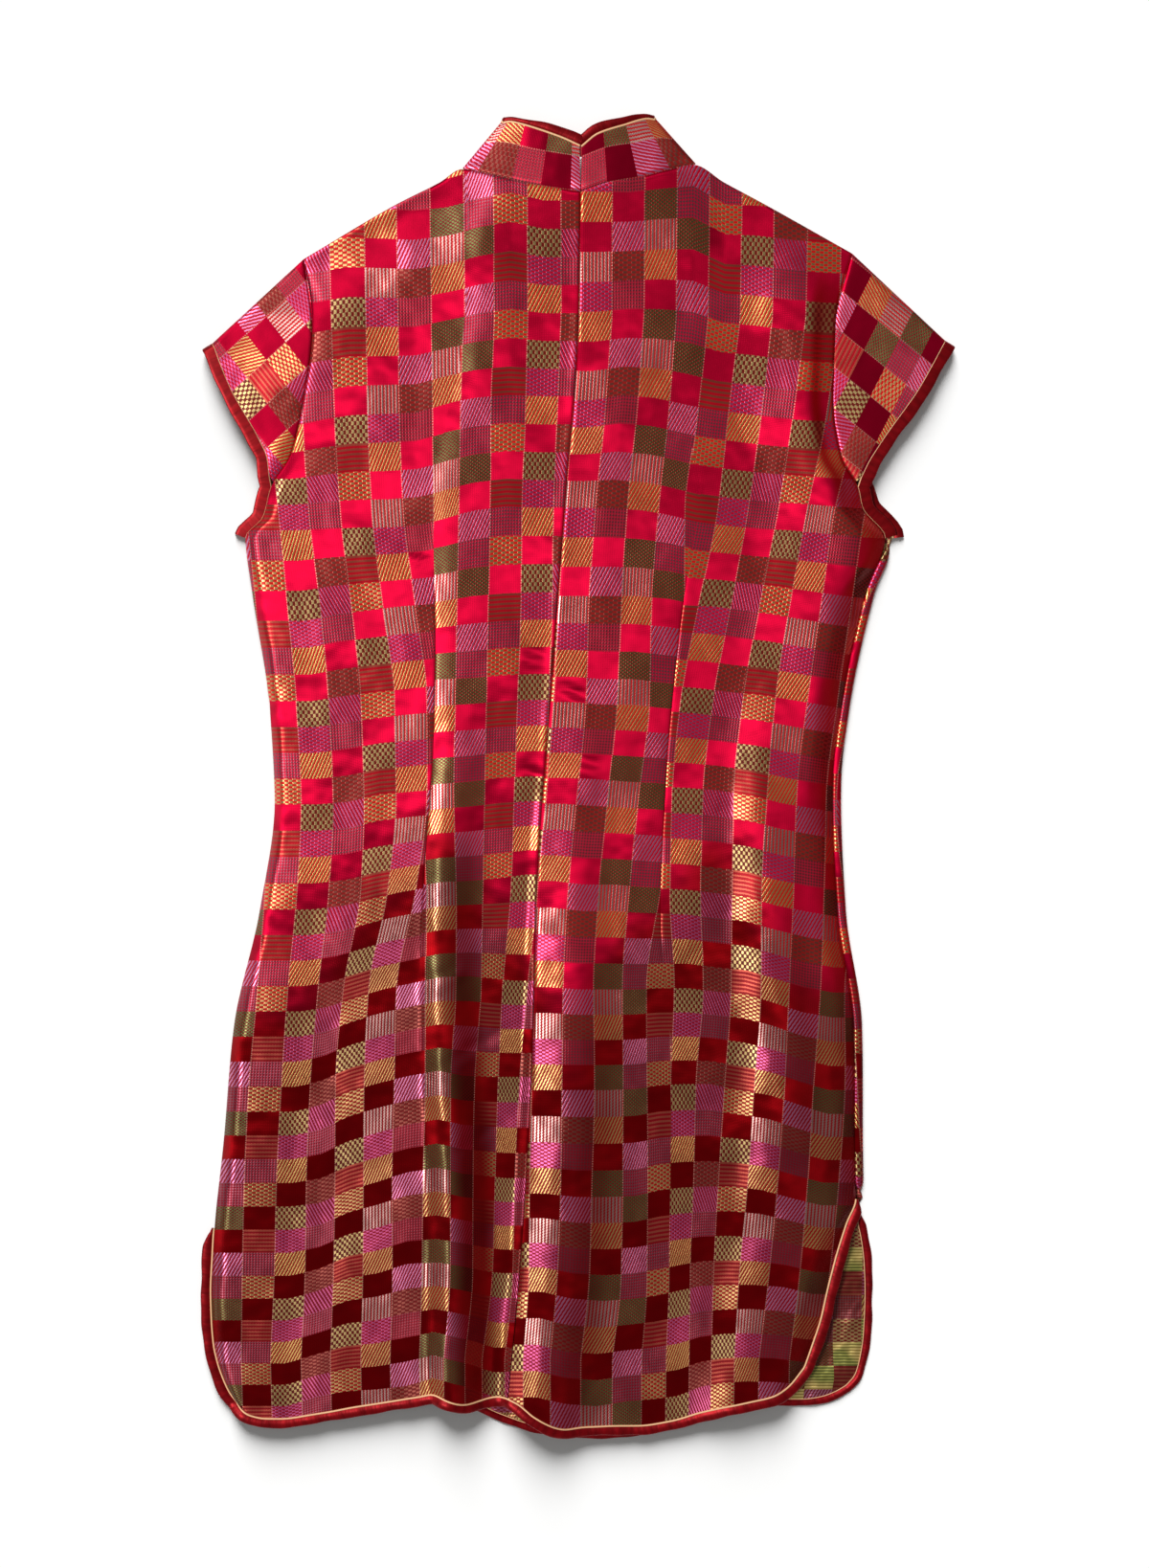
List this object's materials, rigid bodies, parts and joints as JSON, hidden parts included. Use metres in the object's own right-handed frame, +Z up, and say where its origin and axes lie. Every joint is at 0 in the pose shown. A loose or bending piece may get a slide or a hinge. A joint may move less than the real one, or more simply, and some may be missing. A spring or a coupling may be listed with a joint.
{
  "type": "cheongsam dress",
  "caption": "Short-sleeved cheongsam of checked brocade laid flat, back up, with a stand collar, cap sleeves, side slits and bound, piped edges.",
  "frame": {"origin": "middle of the laid-out dress's bounding box, on the surface that it lies on", "axes": "+Y towards the collar, +Z up out of the back of the dress, +X towards the side on the viewer's right"},
  "size_m": [0.5852, 1.0482, 0.0277],
  "materials": {
    "brocade": "jacquard-woven check of satin, twill and ribbed squares",
    "satin_binding": "red satin bias binding",
    "piping": "cream satin-covered cord",
    "zip_tape": "matt woven tape",
    "zip_metal": "red lacquered slider"
  },
  "bodies": {
    "root": {"front": "brocade", "back_left": "brocade", "back_right": "brocade", "sleeve_left": "brocade", "sleeve_right": "brocade", "collar": "brocade", "collar_binding": "satin_binding", "hem_binding_back": "satin_binding", "hem_binding_front": "satin_binding", "armhole_binding_left": "satin_binding", "armhole_binding_right": "satin_binding", "collar_piping": "piping", "hem_piping_back": "piping", "hem_piping_front": "piping", "armhole_piping_left": "piping", "armhole_piping_right": "piping", "zip_tape_left": "zip_tape", "zip_tape_right": "zip_tape", "zip_coil": "zip_tape", "zip_slider": "zip_metal"}
  },
  "joints": []
}
